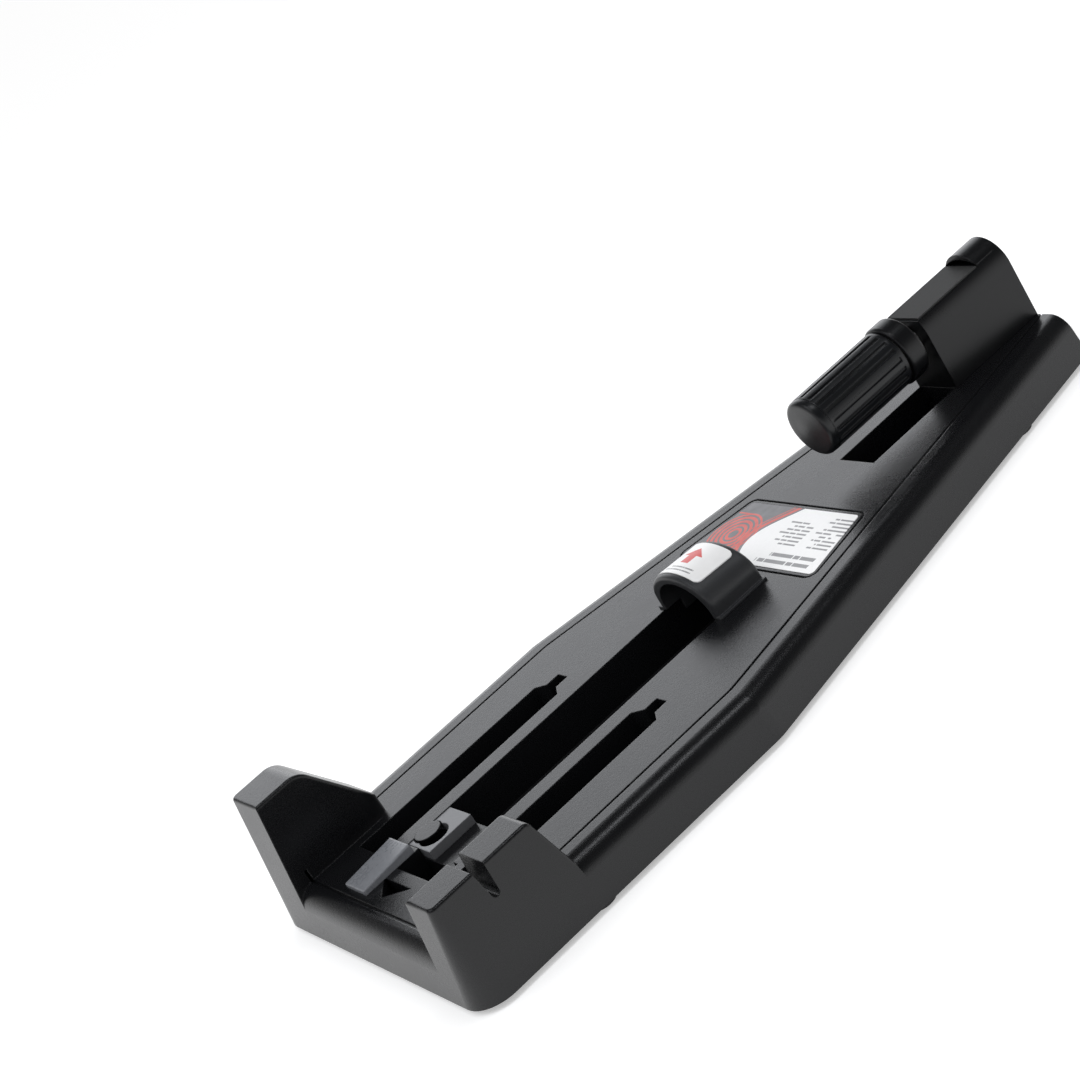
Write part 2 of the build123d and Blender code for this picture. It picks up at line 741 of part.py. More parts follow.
def screw(x, y, head_z, length):
    """Self-tapping screw with its head below and the shank pointing up."""
    head = rod_z(x, y, head_z, head_z + screw_head_height, screw_head_radius)
    head -= rod_z(x, y, head_z, head_z + screw_socket_depth, screw_socket_radius)
    return head + rod_z(x, y, head_z + screw_head_height, head_z + length, screw_shank_radius)


def cover_screws():
    """Screws of the bottom cover."""
    return Compound([screw(x, y, z_skirt, cover_screw_length) for x, y in cover_screw_places()])


def block_screws():
    """Screws of the reel seat block, heads under the deck."""
    z = z_deck - wall - screw_head_height
    return Compound([screw(x, y, z, block_screw_length) for x, y in block_screw_places()])


def rubber_foot(x, y):
    """Round foot with a plug that snaps into the cover."""
    disc = rod_z(x, y, 0, z_skirt, foot_radius)
    disc = fillet(disc.edges().filter_by(GeomType.CIRCLE).sort_by(Axis.Z)[0], foot_round)
    return disc + rod_z(x, y, z_skirt, z_skirt + plug_length, plug_radius)


# ----------------------------------------------------------------------- output
def all_pieces():
    """Every sub-part by name."""
    pieces = {
        "base_shell": base_shell(),
        "bottom_cover": bottom_cover(),
        "cover_screws": cover_screws(),
        "storage_clip": storage_clip(),
        "rod_clip_plate": rod_clip_plate(),
        "tunnel_hood": tunnel_hood(),
        "tunnel_label": tunnel_label(),
        "info_label": info_label(),
        "reel_seat_block": reel_seat_block(),
        "block_screws": block_screws(),
        "saddle_pad": saddle_pad(),
        "threaded_stem": threaded_stem(),
        "sliding_hood": sliding_hood(),
        "thrust_washer": thrust_washer(),
        "clamp_knob": clamp_knob(),
        "knob_insert": knob_insert(),
        "knob_end_cap": knob_end_cap(),
    }
    for name, (x, y) in foot_places().items():
        pieces["foot_" + name] = rubber_foot(x, y)
    return pieces


os.makedirs("parts", exist_ok=True)
for name, solid in all_pieces().items():
    solid.label = name
    export_step(solid, f"parts/{name}.step")
    print(name, round(solid.volume, 1))
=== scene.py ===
# %% [markdown]
# # A winder for fishing line
# A long, low, hollow moulding in black plastic. Two cheeks stand at its front end, channels for
# stored rods run along its deck, and at the rear a fluted knob clamps the foot of a reel against
# a fixed hood. The real sizes and the moving bodies come ready made with the frame. This lesson
# gives them their finish and models the pieces whose look needs finer work.

# %% Load the frame
import math

import bmesh
import bpy
from mathutils import Matrix, Vector


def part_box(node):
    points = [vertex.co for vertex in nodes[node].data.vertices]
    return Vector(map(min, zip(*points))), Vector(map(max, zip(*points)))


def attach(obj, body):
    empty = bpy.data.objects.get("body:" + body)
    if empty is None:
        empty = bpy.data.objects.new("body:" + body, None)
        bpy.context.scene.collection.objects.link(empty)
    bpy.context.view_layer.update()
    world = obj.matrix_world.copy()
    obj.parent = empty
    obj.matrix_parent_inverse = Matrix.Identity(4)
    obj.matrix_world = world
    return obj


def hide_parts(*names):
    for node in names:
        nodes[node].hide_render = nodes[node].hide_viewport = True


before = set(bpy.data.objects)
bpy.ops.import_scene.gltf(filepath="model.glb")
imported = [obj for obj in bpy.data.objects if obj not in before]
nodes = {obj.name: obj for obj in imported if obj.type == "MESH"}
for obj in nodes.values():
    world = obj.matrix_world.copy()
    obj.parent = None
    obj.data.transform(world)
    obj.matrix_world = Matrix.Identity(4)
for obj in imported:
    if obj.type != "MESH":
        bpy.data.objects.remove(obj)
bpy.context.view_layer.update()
scene = bpy.context.scene
MM = 0.001

# %% [markdown]
# ## Camera
# The photograph looks down on the winder from the front corner with a long lens, and the camera
# is rolled, so the winder climbs from lower left to upper right. A camera's own axes are the
# columns of its matrix: right, up, and backwards. Giving forward and up is the shortest way to
# set a rolled view.

# %% Camera
CAMERA_PLACE = Vector((-0.3683, -0.7936, 0.4215))
CAMERA_FORWARD = Vector((0.35371, 0.85968, -0.36858)).normalized()
CAMERA_UP = Vector((0.61686, 0.08181, 0.78281))
LENS_MM = 88.39


def make_camera():
    """Camera from its place, its forward direction and its up direction."""
    camera = bpy.data.objects.new("camera", bpy.data.cameras.new("camera"))
    scene.collection.objects.link(camera)
    right = CAMERA_FORWARD.cross(CAMERA_UP).normalized()
    up = right.cross(CAMERA_FORWARD)
    turn = Matrix((right, up, -CAMERA_FORWARD)).transposed()
    camera.matrix_world = Matrix.Translation(CAMERA_PLACE) @ turn.to_4x4()
    camera.data.lens = LENS_MM
    camera.data.sensor_width = 36.0
    camera.data.clip_end = 50.0
    print("camera", LENS_MM, "mm")
    return camera


scene.camera = make_camera()

# %% [markdown]
# ## Sums with sockets
# A procedural finish is mostly arithmetic on coordinates. Wrapping an output socket in a small
# class lets the sum be written as Python: each operator adds the Math node it stands for. Every
# other node comes from one method, which takes the settings first and the socket values after.

# %% Sums with sockets
class Wire:
    """One output socket of a node tree, ready for sums."""

    def __init__(self, graph, socket):
        self.graph = graph
        self.socket = socket

    def sum(self, operation, *values):
        return self.graph.node("Math", {"operation": operation}, dict(enumerate(values)))

    def __add__(self, other):
        return self.sum("ADD", self, other)

    def __sub__(self, other):
        return self.sum("SUBTRACT", self, other)

    def __rsub__(self, other):
        return self.sum("SUBTRACT", other, self)

    def __mul__(self, other):
        return self.sum("MULTIPLY", self, other)

    def __truediv__(self, other):
        return self.sum("DIVIDE", self, other)

    def __abs__(self):
        return self.sum("ABSOLUTE", self)

    def __lt__(self, other):
        return self.sum("LESS_THAN", self, other)

    def __gt__(self, other):
        return self.sum("GREATER_THAN", self, other)

    def __and__(self, other):
        return self.sum("MINIMUM", self, other)

    def __or__(self, other):
        return self.sum("MAXIMUM", self, other)

    __radd__ = __add__
    __rmul__ = __mul__


class Graph:
    """A node tree that gets its nodes one by one."""

    def __init__(self, tree):
        self.tree = tree

    def node(self, kind, settings=None, sockets=None, output=0):
        """Add a node: its settings first, then values or links for its sockets."""
        made = self.tree.nodes.new("ShaderNode" + kind)
        for name, value in (settings or {}).items():
            if name == "stops":
                elements = made.color_ramp.elements
                while len(elements) < len(value):
                    elements.new(0.5)
                for element, (place, level) in zip(elements, value):
                    element.position = place
                    element.color = (level, level, level, 1.0)
            else:
                setattr(made, name, value)
        for name, value in (sockets or {}).items():
            if isinstance(value, Wire):
                self.tree.links.new(value.socket, made.inputs[name])
            else:
                made.inputs[name].default_value = value
        return Wire(self, made.outputs[output])


class Finish(Graph):
    """A material being written, with the object coordinates that its patterns read."""

    def __init__(self, name):
        self.material = bpy.data.materials.new(name)
        self.material.use_nodes = True
        super().__init__(self.material.node_tree)
        self.shader = self.tree.nodes["Principled BSDF"]
        self.place = self.node("TexCoord", output="Object")
        split = {"Vector": self.place}
        self.x, self.y, self.z = (self.node("SeparateXYZ", None, split, axis) for axis in "XYZ")

    def noise(self, grain, detail=2.0, roughness=0.5):
        """Cloudy pattern whose blobs are about one grain across, in metres."""
        sockets = {"Vector": self.place, "Scale": 1 / grain, "Detail": detail,
                   "Roughness": roughness}
        return self.node("TexNoise", None, sockets)

    def ramp(self, value, low, high):
        """0 below low, 1 above high, and a straight rise between."""
        limits = {"Value": value, "From Min": low, "From Max": high}
        return self.node("MapRange", None, limits)

    def mix(self, factor, first, second):
        """Blend two colours; each is a wire or a colour of three numbers."""
        values = [v if isinstance(v, Wire) else (*v, 1.0) for v in (first, second)]
        sockets = {0: factor, 6: values[0], 7: values[1]}
        return self.node("Mix", {"data_type": "RGBA"}, sockets, 2)

    def bump(self, height, depth, under=None):
        """Normal of a surface raised by height times depth, in metres."""
        sockets = {"Height": height, "Distance": depth}
        if under is not None:
            sockets["Normal"] = under
        return self.node("Bump", None, sockets)

    def round_edges(self, radius):
        """Normal that shades sharp edges as if they had a small radius."""
        return self.node("Bevel", {"samples": 4}, {"Radius": radius})

    def edge_wear_and_highlight(self, rounded):
        """1 on sharp edges, 0 on flats: how far the rounded normal leans from the true one."""
        true = self.node("NewGeometry", output="Normal")
        lean = self.node("VectorMath", {"operation": "DOT_PRODUCT"}, {0: rounded, 1: true}, "Value")
        return self.ramp(1.0 - lean, 0.01, 0.15)

    def set(self, **values):
        """Fill sockets of the shader; a name's underscores stand for spaces."""
        for name, value in values.items():
            socket = self.shader.inputs[name.replace("_", " ")]
            if isinstance(value, Wire):
                self.tree.links.new(value.socket, socket)
            elif isinstance(value, tuple):
                socket.default_value = (*value, 1.0)
            else:
                socket.default_value = value
        return self.material


# %% [markdown]
# ## Black moulded plastic
# All the big pieces are injection moulded in black. What tells them apart is the mould's skin:
# the shell has a fine spark-eroded grain, the small parts are smoother, and the bar and plate
# between the cheeks are coloured a paler grey. One recipe with a few numbers gives them all: a
# colour with slight clouds, a roughness that varies with them, two sizes of grain in the bump,
# and edges that are a little rounded and more polished than the flats, as handling leaves them.
# The edges are also painted paler: part wear, part a painted highlight along each edge. A paint
# of one flat black would hide the form; the small changes let each face catch light.

# %% Black moulded plastic
CLOUD_SIZE = 18 * MM
MOULD_EDGE = 0.6 * MM
SHELL_BLACK = (0.0038, 0.0040, 0.0047)
COVER_BLACK = (0.0060, 0.0061, 0.0068)
HOOD_BLACK = (0.0028, 0.0030, 0.0036)
KNOB_BLACK = (0.0032, 0.0038, 0.0048)
TUNNEL_GREY = (0.020, 0.021, 0.023)
# The clip plate and the rest bar are coloured a paler grey than the shell.
PLATE_GREY = (0.090, 0.092, 0.098)
BAR_GREY = (0.075, 0.078, 0.085)
WASHER_GREY = (0.09, 0.09, 0.09)


def moulded_plastic(name, colour, roughness, grain, grain_depth, ior=1.46, paler=1.6):
    """Plastic with a grain of one size and depth; paler is how far its clouds lighten it."""
    finish = Finish(name)
    clouds = finish.noise(CLOUD_SIZE, 3.0)
    fine = finish.noise(grain, 2.0, 0.6)
    coarse = finish.noise(2.6 * grain, 1.0)
    rounded = finish.round_edges(MOULD_EDGE)
    # Edge mask for wear and painted highlight: it makes the edges glossier and paints them paler.
    wear_and_highlight = finish.edge_wear_and_highlight(rounded) * (0.35 + 0.65 * clouds)
    lighter = tuple(paler * part for part in colour)
    worn_highlit_colour = tuple(2.0 * part + 0.006 for part in colour)
    shade = finish.mix(clouds * 0.6 + fine * 0.4, colour, lighter)
    # Painted highlight along the edges, together with their wear: the edges get a paler colour.
    shade = finish.mix(wear_and_highlight * 0.8, shade, worn_highlit_colour)
    skin = roughness - 0.06 + 0.09 * clouds + 0.06 * fine - 0.06 * wear_and_highlight
    normal = finish.bump(fine * 0.6 + coarse * 0.4, grain_depth, rounded)
    return finish.set(Base_Color=shade, Roughness=skin, Normal=normal, IOR=ior)


shell_finish = moulded_plastic("shell_plastic", SHELL_BLACK, 0.26, 0.5 * MM, 0.06 * MM)
cover_finish = moulded_plastic("cover_plastic", COVER_BLACK, 0.45, 1.2 * MM, 0.10 * MM)
hood_finish = moulded_plastic("hood_plastic", HOOD_BLACK, 0.28, 0.6 * MM, 0.03 * MM, ior=1.40)
tunnel_finish = moulded_plastic("tunnel_plastic", TUNNEL_GREY, 0.38, 0.6 * MM, 0.03 * MM)
knob_finish = moulded_plastic("knob_plastic", KNOB_BLACK, 0.30, 0.6 * MM, 0.03 * MM)
clip_finish = moulded_plastic("clip_plastic", PLATE_GREY, 0.22, 0.9 * MM, 0.02 * MM)
bar_finish = moulded_plastic("bar_plastic", BAR_GREY, 0.26, 1.4 * MM, 0.04 * MM, paler=3.6)
washer_finish = moulded_plastic("washer_nylon", WASHER_GREY, 0.35, 0.5 * MM, 0.01 * MM)
print("plastics", [m.name for m in bpy.data.materials])

# %% [markdown]
# ## Rubber, steel and brass
# Rubber is duller and drinks the light; steel and brass are metallic, with fine turning marks
# that run round the axis. The marks come from stretching a noise along one direction.

# %% Rubber, steel and brass
RUBBER_DARK = (0.018, 0.018, 0.018)
RUBBER_PALE = (0.034, 0.034, 0.034)
MARKS_PER_METRE = 6000.0
MARKS_STRETCH = (1.0, 0.04, 0.04)


def rubber(name):
    """Dull black rubber with a fine speckle."""
    finish = Finish(name)
    speckle = finish.noise(0.8 * MM, 3.0)
    shade = finish.mix(speckle, RUBBER_DARK, RUBBER_PALE)
    normal = finish.bump(speckle, 0.03 * MM, finish.round_edges(0.3 * MM))
    return finish.set(Base_Color=shade, Roughness=0.62 + 0.15 * speckle, Normal=normal)


def turned_metal(name, colour, roughness):
    """Metal with fine marks in rings round the X axis."""
    finish = Finish(name)
    stretched = finish.node("Mapping", None, {"Vector": finish.place, "Scale": MARKS_STRETCH})
    fine = {"Vector": stretched, "Scale": MARKS_PER_METRE, "Detail": 2.0}
    marks = finish.node("TexNoise", None, fine)
    darker = tuple(0.7 * part for part in colour)
    normal = finish.bump(marks, 0.006 * MM, finish.round_edges(0.15 * MM))
    return finish.set(Base_Color=finish.mix(marks, darker, colour), Metallic=1.0,
                      Roughness=roughness + 0.15 * marks, Normal=normal)


foot_finish = rubber("foot_rubber")
pad_finish = rubber("pad_rubber")
stem_finish = turned_metal("stem_steel", (0.30, 0.30, 0.31), 0.32)
screw_finish = turned_metal("screw_steel", (0.50, 0.50, 0.51), 0.28)
brass_finish = turned_metal("insert_brass", (0.75, 0.56, 0.28), 0.25)

# %% [markdown]
# ## The printed labels
# Both labels are white film with print on it. The print could be painted as a picture, but masks
# need no file: each mask is 1 inside a shape and 0 outside, made from the coordinates with sums.
# The motifs are plain ones of this lesson's own: a ringed disc on a dark panel, an arrow, and
# grey bars where small print would be. On each label x runs from 0 at its front to 1 at its rear,
# and y from 0 at its near side to 1 at its far side.

# %% Mask helpers
WORD_GAP = 0.14


def band(value, low, high):
    """1 where value lies between low and high."""
    return (value > low) & (value < high)


def part_of(finish, value, operation="FRACT"):
    """Fraction, floor or sine of a wire."""
    return finish.node("Math", {"operation": operation}, {0: value})


def ruled_rows(finish, along, across, rows, reach, pitch, weight, seed):
    """Rows of grey bars broken into pieces: rows step one way, bars run the other."""
    start, stop = rows
    left, right = reach
    count = (along - start) / pitch
    index = part_of(finish, count, "FLOOR")
    ragged = part_of(finish, index * 0.37 + seed)
    end = right - (right - left) * 0.4 * ragged
    uneven = 0.4 * part_of(finish, across * 31.0, "SINE")
    pieces = part_of(finish, across * 9.0 + ragged * 3.0 + uneven)
    inside = band(along, start, stop) & (across > left) & (across < end)
    return inside & (part_of(finish, count) < weight) & (pieces > WORD_GAP)


# %% Information label
DISC_X, DISC_Y = 0.44, 0.80
RING_PITCH = 2.3 * MM
DISC_RADIUS = 12.4 * MM
LINE_FROM_DISC = 12.0 * MM
LINE_HALF = 0.35 * MM
RED_DARK, RED_PALE = (0.42, 0.020, 0.018), (0.80, 0.13, 0.09)
PANEL_DARK, PANEL_PALE = (0.055, 0.055, 0.062), (0.21, 0.21, 0.22)
BAR_INK = (0.07, 0.07, 0.08)


def info_label_finish():
    """White film with a dark panel at its far side and grey bars at its near side."""
    finish = Finish("info_label_film")
    low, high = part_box("info_label")
    long, wide = high.x - low.x, high.y - low.y
    x = (finish.x - low.x) / long
    y = (finish.y - low.y) / wide
    edge = 0.545 + 0.11 * part_of(finish, x * 3.4 + 0.2, "SINE")
    panel = y > edge
    away_x, away_y = (x - DISC_X) * long, (y - DISC_Y) * wide
    radius = part_of(finish, away_x * away_x + away_y * away_y, "SQRT")
    rings = (part_of(finish, radius / RING_PITCH) < 0.6) & band(radius, RING_PITCH, DISC_RADIUS)
    sweep = band(y - edge, 0.02, 0.05) | band(y - edge, 0.065, 0.075)
    line = band(away_x - LINE_FROM_DISC, -LINE_HALF, LINE_HALF) & (y > DISC_Y)
    cloud = finish.noise(5 * MM, 3.0)
    red_ink = finish.mix(cloud, RED_DARK, RED_PALE)
    dark_ink = finish.mix(cloud, PANEL_DARK, PANEL_PALE)
    titles = ruled_rows(finish, x, y, (0.07, 0.30), (0.07, 0.50), 0.115, 0.50, 0.2)
    small = ruled_rows(finish, x, y, (0.38, 0.93), (0.06, 0.26), 0.062, 0.42, 0.6)
    more = ruled_rows(finish, x, y, (0.38, 0.80), (0.30, 0.50), 0.062, 0.42, 0.9)
    paper = finish.mix(finish.noise(1.5 * MM), (0.86, 0.86, 0.86), (0.92, 0.92, 0.92))
    printed = finish.mix((titles | small | more) * 0.78, paper, BAR_INK)
    printed = finish.mix(panel, printed, dark_ink)
    printed = finish.mix((rings | sweep | line) & panel, printed, red_ink)
    relief = finish.bump(finish.noise(3 * MM, 2.0), 0.02 * MM)
    return finish.set(Base_Color=printed, Roughness=0.34 + 0.1 * cloud, Normal=relief)


# %% Tunnel label
ARROW_MIDDLE = 0.52
SHAFT_START, SHAFT_END, HEAD_END = 0.34, 0.58, 0.82
SHAFT_HALF = 0.09
HEAD_SPREAD = 0.9
ARROW_RED = (0.60, 0.045, 0.04)
SMALL_BAR_INK = (0.12, 0.12, 0.13)


def tunnel_label_finish():
    """White film with a red arrow that points into the tunnel, and grey bars beside it."""
    finish = Finish("tunnel_label_film")
    low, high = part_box("tunnel_label")
    x = (finish.x - low.x) / (high.x - low.x)
    y = (finish.y - low.y) / (high.y - low.y)
    middle = abs(y - ARROW_MIDDLE)
    shaft = band(x, SHAFT_START, SHAFT_END) & (middle < SHAFT_HALF)
    head = band(x, SHAFT_END, HEAD_END) & (middle < (HEAD_END - x) * HEAD_SPREAD)
    bars = ruled_rows(finish, x, y, (0.10, 0.28), (0.20, 0.86), 0.09, 0.40, 0.3)
    cloud = finish.noise(4 * MM, 2.0)
    paper = finish.mix(cloud, (0.78, 0.78, 0.78), (0.86, 0.86, 0.86))
    printed = finish.mix(bars * 0.8, paper, SMALL_BAR_INK)
    printed = finish.mix(shaft | head, printed, ARROW_RED)
    relief = finish.bump(finish.noise(3 * MM, 2.0), 0.02 * MM)
    return finish.set(Base_Color=printed, Roughness=0.30 + 0.1 * cloud, Normal=relief)


# %% [markdown]
# ## Dress the frame
# Every node of the frame keeps its mesh and gets one finish. Names carry the choice, so a short
# table is enough.

# %% Dress the frame
FINISHES = {
    "base_shell": shell_finish,
    "bottom_cover": cover_finish,
    "cover_screws": screw_finish,
    "block_screws": screw_finish,
    "storage_clip": bar_finish,
    "rod_clip_plate": clip_finish,
    "tunnel_hood": tunnel_finish,
    "tunnel_label": tunnel_label_finish(),
    "info_label": info_label_finish(),
    "reel_seat_block": hood_finish,
    "saddle_pad": pad_finish,
    "threaded_stem": stem_finish,
    "sliding_hood": hood_finish,
    "thrust_washer": washer_finish,
    "clamp_knob": knob_finish,
    "knob_insert": brass_finish,
    "knob_end_cap": knob_finish,
}

for name, node in nodes.items():
    material = foot_finish if name.startswith("foot_") else FINISHES[name]
    node.data.materials.clear()
    node.data.materials.append(material)
print("dressed", len(nodes), "nodes")

# %% [markdown]
# ## Tools for modelling
# The finer pieces are modelled as by hand: start from a primitive, select what is to change, and
# use one operator at a time. Nothing is clicked, so the selection is made in code: a test on the
# place of each face, edge or corner says whether it is wanted.

# %% Tools for modelling
SMOOTH_BELOW = math.radians(35)
TINY = 0.01 * MM


def select_only(piece):
    """Deselect everything, then make one piece the active selection."""
    bpy.ops.object.select_all(action="DESELECT")
    piece.select_set(True)
    bpy.context.view_layer.objects.active = piece


def pick(piece, kind, wanted):
    """In edit mode, select the faces, edges or corners that pass a test, and count them."""
    bpy.ops.mesh.select_mode(type=kind)
    bpy.ops.mesh.select_all(action="DESELECT")
    mesh = bmesh.from_edit_mesh(piece.data)
    parts = {"FACE": mesh.faces, "EDGE": mesh.edges, "VERT": mesh.verts}[kind]
    chosen = [part for part in parts if wanted(part)]
    for part in chosen:
        part.select_set(True)
    mesh.select_flush_mode()
    bmesh.update_edit_mesh(piece.data)
    return len(chosen)


def rod_along_x(name, front, rear, radius, sides, axis_z):
    """Closed cylinder along X with its place in its mesh, left in edit mode."""
    bpy.ops.object.select_all(action="DESELECT")
    centre = ((front + rear) / 2, 0.0, axis_z)
    bpy.ops.mesh.primitive_cylinder_add(vertices=sides, radius=radius, depth=rear - front,
                                        location=centre, rotation=(0, math.pi / 2, 0))
    piece = bpy.context.object
    piece.name = name
    bpy.ops.object.transform_apply(location=True, rotation=True, scale=True)
    bpy.ops.object.mode_set(mode="EDIT")
    return piece


def finish_piece(piece, material, body, replaced):
    """Close the edit, apply modifiers, shade the piece, and give it its place in the frame."""
    if piece.mode == "EDIT":
        bpy.ops.mesh.select_all(action="SELECT")
        bpy.ops.mesh.normals_make_consistent(inside=False)
        bpy.ops.object.mode_set(mode="OBJECT")
    select_only(piece)
    for modifier in list(piece.modifiers):
        bpy.ops.object.modifier_apply(modifier=modifier.name)
    bpy.ops.object.shade_smooth_by_angle(angle=SMOOTH_BELOW)
    piece.data.materials.clear()
    piece.data.materials.append(material)
    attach(piece, body)
    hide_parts(replaced)
    print(piece.name, len(piece.data.polygons), "faces")
    return piece


def round_corners(piece, width, segments=2, angle=30):
    """Add a bevel that rounds every edge sharper than the angle."""
    bevel = piece.modifiers.new("rounding", "BEVEL")
    bevel.width = width
    bevel.segments = segments
    bevel.limit_method = "ANGLE"
    bevel.angle_limit = math.radians(angle)
    bevel.harden_normals = False


# %% [markdown]
# ## Clamp knob
# The knob is a moulded grip with wide lands and narrow grooves that die out before its rounded
# front edge, and it keeps a plain ring next to the collar. The grooves are the same strip of
# faces pushed in eighteen times round, so one selection and one extrusion make all of them. The
# stepped bore inside clears the screw.

# %% Clamp knob
GRIP_LOW, GRIP_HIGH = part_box("clamp_knob")
CAP_LOW, CAP_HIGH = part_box("knob_end_cap")
INSERT_LOW, INSERT_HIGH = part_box("knob_insert")
AXIS_Z = (GRIP_LOW.z + GRIP_HIGH.z) / 2
GRIP_RADIUS = (GRIP_HIGH.z - GRIP_LOW.z) / 2
INSERT_RADIUS = (INSERT_HIGH.z - INSERT_LOW.z) / 2
BORE_RADIUS = 5.6 * MM
GROOVES = 18
SIDES = 180
GROOVE_DEPTH = 1.0 * MM
GROOVE_HALF_SHARE = 0.2
FRONT_LAND = 0.5 * MM
REAR_RING = 1.8 * MM
RUN_OUT = 2.2 * MM
LAND_ROUND = 0.22 * MM


def around(point):
    """Angle and radius of a point about the screw axis."""
    return math.atan2(point.z - AXIS_Z, point.y), math.hypot(point.y, point.z - AXIS_Z)


def in_groove(face, front, rear):
    """Whether a face is on the side of the grip, in a groove's strip."""
    centre = face.calc_center_median()
    angle, radius = around(centre)
    step = (angle / math.tau * GROOVES) % 1.0
    on_side = radius > 0.9 * GRIP_RADIUS and front < centre.x < rear
    return on_side and abs(step - 0.5) < GROOVE_HALF_SHARE


def end_face(face, place, facing):
    """Whether a face lies flat across the axis at a place and looks along it."""
    return facing * face.normal.x > 0.9 and abs(face.calc_center_median().x - place) < TINY


def make_grip():
    """Fluted grip with a stepped bore."""
    front, rear = GRIP_LOW.x, GRIP_HIGH.x
    grip = rod_along_x("knob_grip", front, rear, GRIP_RADIUS, SIDES, AXIS_Z)
    groove_front, groove_rear = front + FRONT_LAND, rear - REAR_RING
    for place in (groove_front, groove_rear):
        bpy.ops.mesh.select_all(action="SELECT")
        bpy.ops.mesh.bisect(plane_co=(place, 0, 0), plane_no=(1, 0, 0))
    count = pick(grip, "FACE", lambda face: in_groove(face, groove_front, groove_rear))
    bpy.ops.mesh.extrude_region_shrink_fatten(
        TRANSFORM_OT_shrink_fatten={"value": -GROOVE_DEPTH})
    floor = GRIP_RADIUS - 0.6 * GROOVE_DEPTH
    pick(grip, "VERT", lambda v: abs(v.co.x - groove_front) < TINY and around(v.co)[1] < floor)
    bpy.ops.transform.translate(value=(RUN_OUT, 0, 0))
    pick(grip, "FACE", lambda face: end_face(face, rear, 1))
    bpy.ops.mesh.inset(thickness=GRIP_RADIUS - INSERT_RADIUS)
    bpy.ops.mesh.extrude_region_move(
        TRANSFORM_OT_translate={"value": (INSERT_LOW.x - rear, 0, 0)})
    bpy.ops.mesh.inset(thickness=INSERT_RADIUS - BORE_RADIUS)
    pick(grip, "FACE", lambda face: end_face(face, front, -1))
    bpy.ops.mesh.inset(thickness=GRIP_RADIUS - BORE_RADIUS)
    pick(grip, "FACE", lambda face: len(face.verts) == SIDES)
    bpy.ops.mesh.bridge_edge_loops()
    print("grooved faces", count)
    round_corners(grip, LAND_ROUND, 3, 40)
    return finish_piece(grip, knob_finish, "knob", "clamp_knob")


make_grip()

# %% [markdown]
# ## Knob end
# The end of the knob is a shallow dome inside a soft rim, moulded as a separate cap that plugs
# the grip. A disc with its front edge bevelled round gives the rim. One inset marks the dome, and
# three more, each moved out a little, raise it.

# %% Knob end
CAP_GAP = 0.1 * MM
CAP_RADIUS = GRIP_RADIUS - CAP_GAP
CAP_ROUND = 2.0 * MM
PLUG_GAP = 0.05 * MM
DOME_STEP = 2.3 * MM
DOME_RISES = (0.0, 0.10 * MM, 0.12 * MM, 0.08 * MM)


def make_knob_end():
    """Cap with a soft rim, a shallow dome and a plug."""
    front, rear = CAP_LOW.x, GRIP_LOW.x
    cap = rod_along_x("knob_end", front, rear, CAP_RADIUS, 120, AXIS_Z)
    pick(cap, "EDGE", lambda edge: all(abs(v.co.x - front) < TINY for v in edge.verts))
    bpy.ops.mesh.bevel(offset=CAP_ROUND, segments=7, affect="EDGES")
    pick(cap, "FACE", lambda face: end_face(face, front, -1) and len(face.verts) > 8)
    for rise in DOME_RISES:
        bpy.ops.mesh.inset(thickness=DOME_STEP)
        bpy.ops.transform.translate(value=(-rise, 0, 0))
    pick(cap, "FACE", lambda face: end_face(face, rear, 1))
    bpy.ops.mesh.inset(thickness=CAP_RADIUS - BORE_RADIUS + PLUG_GAP)
    bpy.ops.mesh.extrude_region_move(
        TRANSFORM_OT_translate={"value": (CAP_HIGH.x - rear, 0, 0)})
    return finish_piece(cap, knob_finish, "knob", "knob_end_cap")


make_knob_end()

# %% [markdown]
# ## Threaded stem
# The screw has a real helix, with two flats that keep the collar from turning. The Screw modifier
# sweeps the outline of one thread round the axis; each turn ends where the next one starts, so
# merging the doubled corners makes one skin. Bisect then cuts the ends and the flats square and
# fills the cuts.

# %% Threaded stem
STEM_LOW, STEM_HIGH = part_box("threaded_stem")
PITCH = 2.0 * MM
THREAD_DEPTH = 0.9 * MM
STEM_RADIUS = 5.0 * MM
HALF_FLAT = 4.2 * MM


